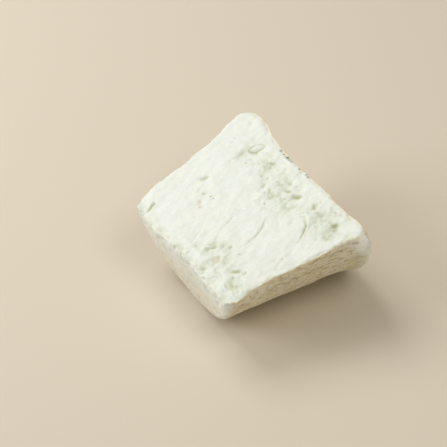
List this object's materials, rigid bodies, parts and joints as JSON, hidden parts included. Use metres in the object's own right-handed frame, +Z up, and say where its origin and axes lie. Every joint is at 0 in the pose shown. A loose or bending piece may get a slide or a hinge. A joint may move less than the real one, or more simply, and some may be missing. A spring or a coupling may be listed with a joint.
{
  "type": "ricotta salata",
  "caption": "Half of a pressed, salted ricotta wheel cut lengthwise just below its mould's axis, lying on its ribbed curved side with the crumbly cut face up",
  "frame": {"origin": "centre of the bounding box at its bottom, on the level strip that the cheese rests on", "axes": "+X across the cut face, -Y from the wide end towards the narrow end, +Z up out of the cut face"},
  "size_m": [0.201, 0.1442, 0.086],
  "materials": {
    "pressed_curd": "moist pressed curd, matte to faintly waxy"
  },
  "bodies": {
    "root": {"half_wheel": "pressed_curd"}
  },
  "joints": []
}
